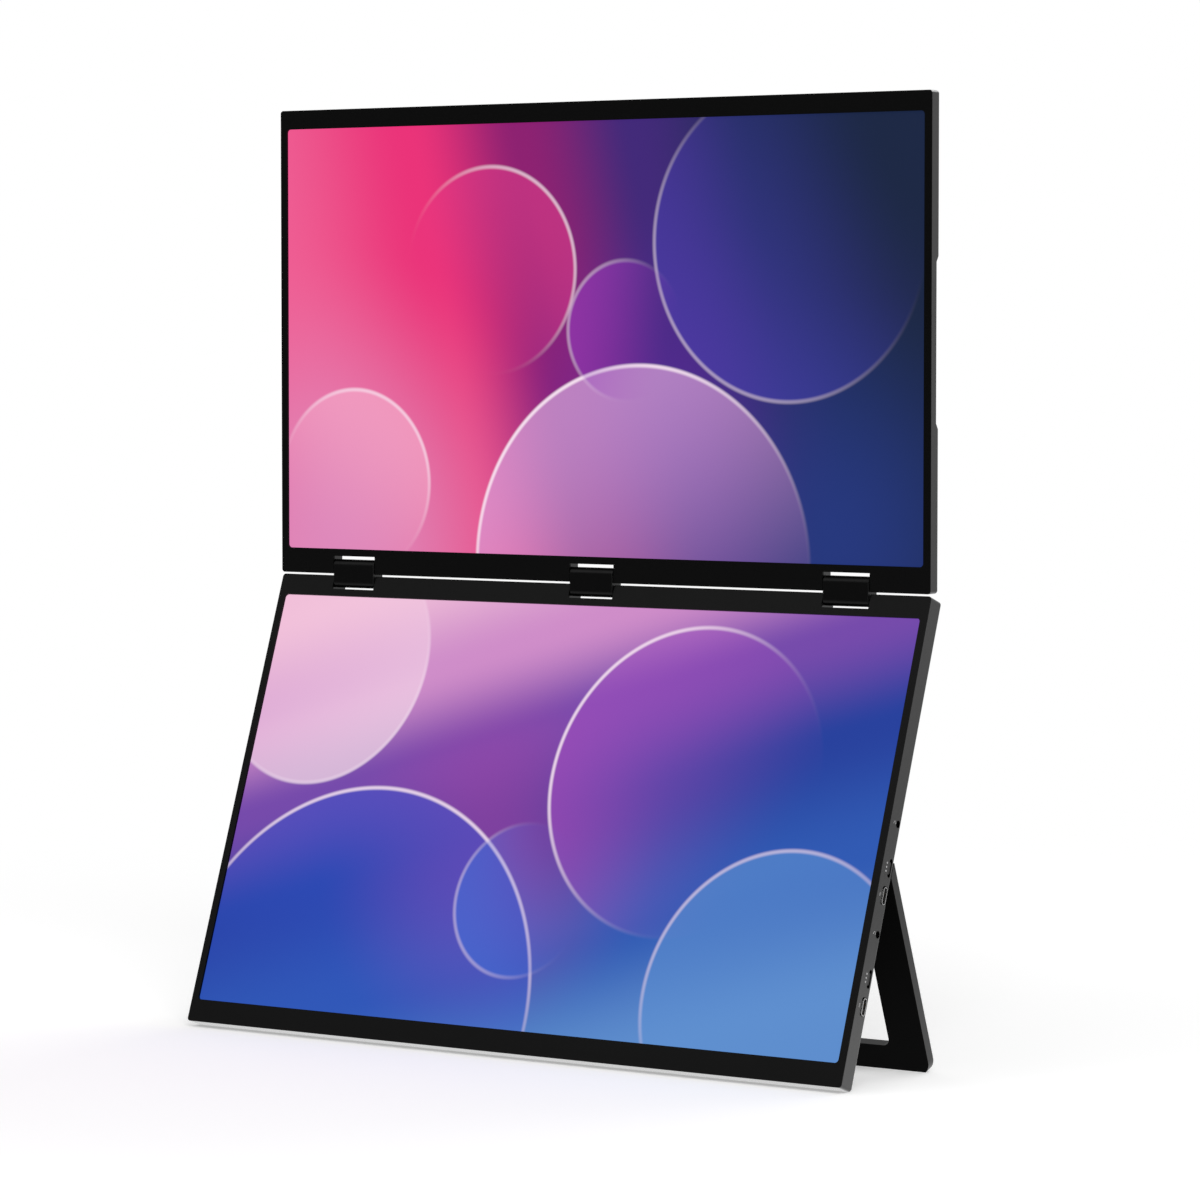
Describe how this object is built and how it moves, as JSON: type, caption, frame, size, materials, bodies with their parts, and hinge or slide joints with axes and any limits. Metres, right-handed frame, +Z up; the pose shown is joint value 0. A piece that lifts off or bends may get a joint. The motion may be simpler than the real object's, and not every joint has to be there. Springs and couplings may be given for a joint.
{
  "type": "dual portable monitor",
  "caption": "Two stacked portable displays joined by double friction hinges, with a window-frame kickstand and side ports, folding flat face to face.",
  "frame": {"origin": "middle of the footprint at rest, on the floor", "axes": "+X to the viewer's right, +Y to the back, +Z up; the screens face -Y"},
  "size_m": [0.4176, 0.0954, 0.4975],
  "materials": {
    "case": "fine blasted, anodised dark grey",
    "bezel": "fine matt",
    "screen": "semi-gloss display, lit",
    "backlight": "white sheet",
    "board": "black solder resist",
    "cable": "flat film",
    "hinge_block": "satin black",
    "steel": "plain",
    "bracket": "stamped",
    "bush": "plain",
    "port_metal": "bright",
    "port_plastic": "plain",
    "key": "plain",
    "stand": "dark anodised",
    "lug": "dark"
  },
  "bodies": {
    "lower_display": {"lower_rear_cover": "case", "lower_bezel": "bezel", "lower_screen": "screen", "lower_backlight": "backlight", "lower_timing_board": "board", "controller_board_1": "board", "controller_board_2": "board", "link_cable": "cable", "lower_panel_cable": "cable", "board_screws": "steel", "lower_hinge_screws": "steel", "stand_lug_screws": "steel", "lower_hinge_shaft_left": "steel", "lower_hinge_shaft_middle": "steel", "lower_hinge_shaft_right": "steel", "lower_hinge_bracket_left": "bracket", "lower_hinge_bracket_middle": "bracket", "lower_hinge_bracket_right": "bracket", "usb_c_shell_1": "port_metal", "usb_c_shell_2": "port_metal", "usb_c_tongue_1": "port_plastic", "usb_c_tongue_2": "port_plastic", "audio_jack_1": "port_plastic", "audio_jack_2": "port_plastic", "rocker_switch_1": "port_plastic", "rocker_switch_2": "port_plastic", "stand_lug_left": "lug", "stand_lug_right": "lug"},
    "hinge_links": {"hinge_block_left": "hinge_block", "hinge_block_middle": "hinge_block", "hinge_block_right": "hinge_block", "lower_friction_bushes": "bush", "upper_friction_bushes": "bush"},
    "upper_display": {"upper_rear_cover": "case", "upper_bezel": "bezel", "upper_screen": "screen", "upper_backlight": "backlight", "upper_timing_board": "board", "upper_panel_cable": "cable", "upper_hinge_screws": "steel", "upper_hinge_shaft_left": "steel", "upper_hinge_shaft_middle": "steel", "upper_hinge_shaft_right": "steel", "upper_hinge_bracket_left": "bracket", "upper_hinge_bracket_middle": "bracket", "upper_hinge_bracket_right": "bracket"},
    "kickstand": {"stand_pin_left": "steel", "stand_pin_right": "steel", "stand_frame": "stand"},
    "rocker_1": {"rocker_key_1": "key"},
    "rocker_2": {"rocker_key_2": "key"}
  },
  "joints": [
    {"name": "lower_fold", "type": "hinge", "parent": "lower_display", "child": "hinge_links", "pos_m": [0, 0.03909, 0.23857], "axis": [1, 0, 0], "range_deg": [-19.6, 70.4]},
    {"name": "upper_fold", "type": "hinge", "parent": "hinge_links", "child": "upper_display", "pos_m": [0, 0.03909, 0.24817], "axis": [1, 0, 0], "range_deg": [0, 90]},
    {"name": "stand_pivot", "type": "hinge", "parent": "lower_display", "child": "kickstand", "pos_m": [0, 0.00284, 0.10308], "axis": [1, 0, 0], "range_deg": [-40.1, 0]},
    {"name": "rocker_1_tilt", "type": "hinge", "parent": "lower_display", "child": "rocker_1", "pos_m": [0.2062, -0.00196, 0.10809], "axis": [0, -0.9421, 0.3355], "range_deg": [-4, 4], "stiffness_Nm_per_rad": 0.08},
    {"name": "rocker_2_tilt", "type": "hinge", "parent": "lower_display", "child": "rocker_2", "pos_m": [0.2062, -0.02108, 0.05439], "axis": [0, -0.9421, 0.3355], "range_deg": [-4, 4], "stiffness_Nm_per_rad": 0.08}
  ]
}
